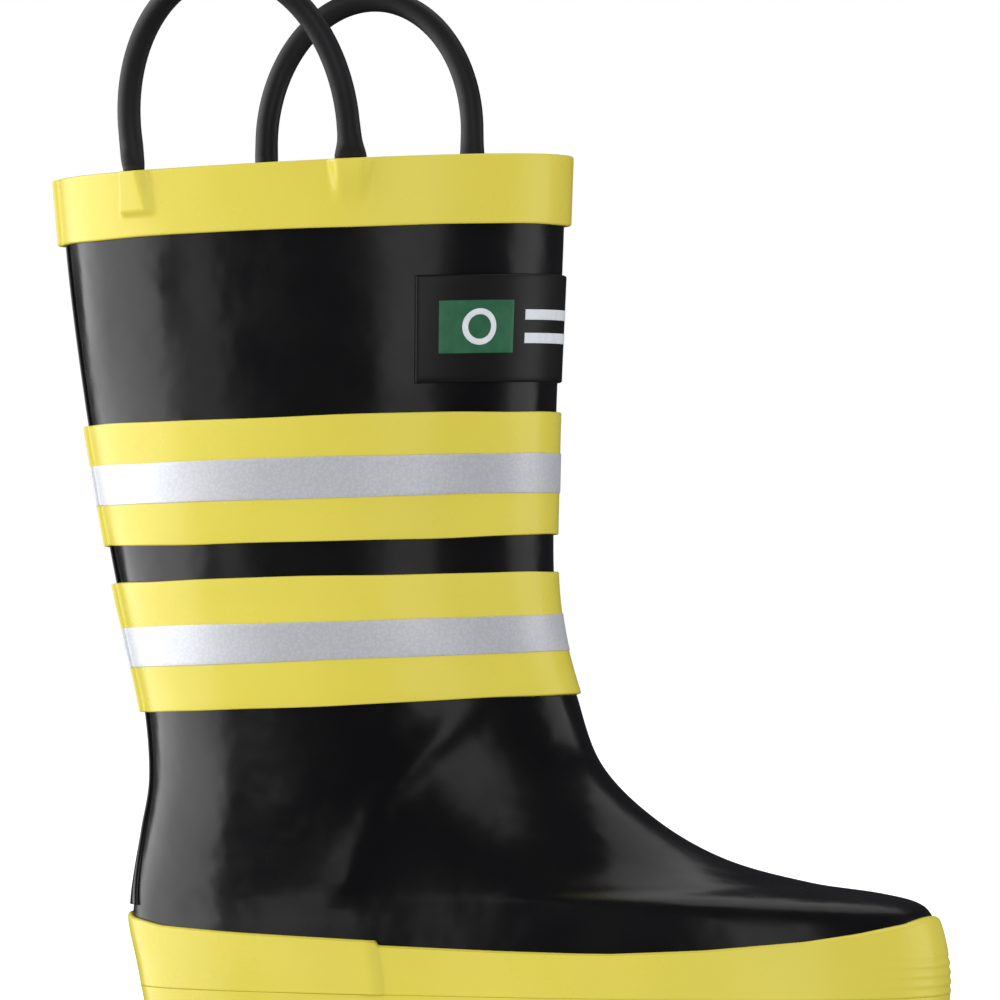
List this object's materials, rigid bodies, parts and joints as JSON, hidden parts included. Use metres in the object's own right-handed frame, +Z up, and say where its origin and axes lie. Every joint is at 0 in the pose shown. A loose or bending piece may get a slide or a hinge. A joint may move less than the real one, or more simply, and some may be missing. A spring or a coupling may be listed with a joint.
{
  "type": "child's rubber fire boot",
  "caption": "Child's black rubber rain boot in firefighter style, with yellow bands, silver reflective strips and two flexible pull handles on the rim.",
  "frame": {"origin": "under the middle of the whole boot's bounding box, on the ground", "axes": "+X to the toe, +Y to the inner (medial) side of the foot, +Z up"},
  "size_m": [0.2234, 0.0992, 0.2687],
  "materials": {
    "black_rubber": "gloss black vulcanised rubber",
    "tread_rubber": "satin yellow tread rubber",
    "handle_rubber": "satin black rubber",
    "yellow_rubber": "satin yellow rubber",
    "reflective_film": "silver reflective film",
    "label_rubber": "satin black rubber",
    "green_print": "green print",
    "pale_print": "pale grey print",
    "lining_knit": "cotton knit",
    "stiffener_board": "fibre board",
    "sole_foam": "foam sheet",
    "insole_cloth": "cloth cover"
  },
  "bodies": {
    "boot": {"vamp_outer_shell": "black_rubber", "vamp_inner_shell": "black_rubber", "shaft_shell": "black_rubber", "back_strip": "black_rubber", "lining_sock": "lining_knit", "toe_puff": "stiffener_board", "heel_counter": "stiffener_board", "insole_board": "stiffener_board", "sole_filler": "sole_foam", "outsole": "tread_rubber", "foxing_strip": "yellow_rubber", "top_band": "yellow_rubber", "upper_tape": "yellow_rubber", "lower_tape": "yellow_rubber", "upper_tape_silver": "reflective_film", "lower_tape_silver": "reflective_film", "label_patch": "label_rubber", "label_field": "green_print", "label_disc": "pale_print", "label_bar_lower": "pale_print", "label_bar_upper": "pale_print", "handle_lateral_root_front": "handle_rubber", "handle_lateral_root_rear": "handle_rubber", "handle_medial_root_front": "handle_rubber", "handle_medial_root_rear": "handle_rubber"},
    "insole": {"insole_foam": "sole_foam", "insole_cover": "insole_cloth"},
    "lateral_handle": {"handle_lateral_loop": "handle_rubber"},
    "medial_handle": {"handle_medial_loop": "handle_rubber"}
  },
  "joints": [
    {"name": "lateral_handle_flex", "type": "hinge", "parent": "boot", "child": "lateral_handle", "pos_m": [-0.05144, -0.04005, 0.22524], "axis": [0.9976, -0.0556, 0.0418], "range_deg": [-45, 45], "stiffness_Nm_per_rad": 0.06},
    {"name": "medial_handle_flex", "type": "hinge", "parent": "boot", "child": "medial_handle", "pos_m": [-0.04554, 0.04128, 0.22549], "axis": [0.9991, -0.0015, 0.0417], "range_deg": [-45, 45], "stiffness_Nm_per_rad": 0.06},
    {"name": "insole_heel_lift", "type": "hinge", "parent": "boot", "child": "insole", "pos_m": [0.10315, 0.0054, 0.01415], "axis": [0, 1, 0], "range_deg": [0, 4]}
  ]
}
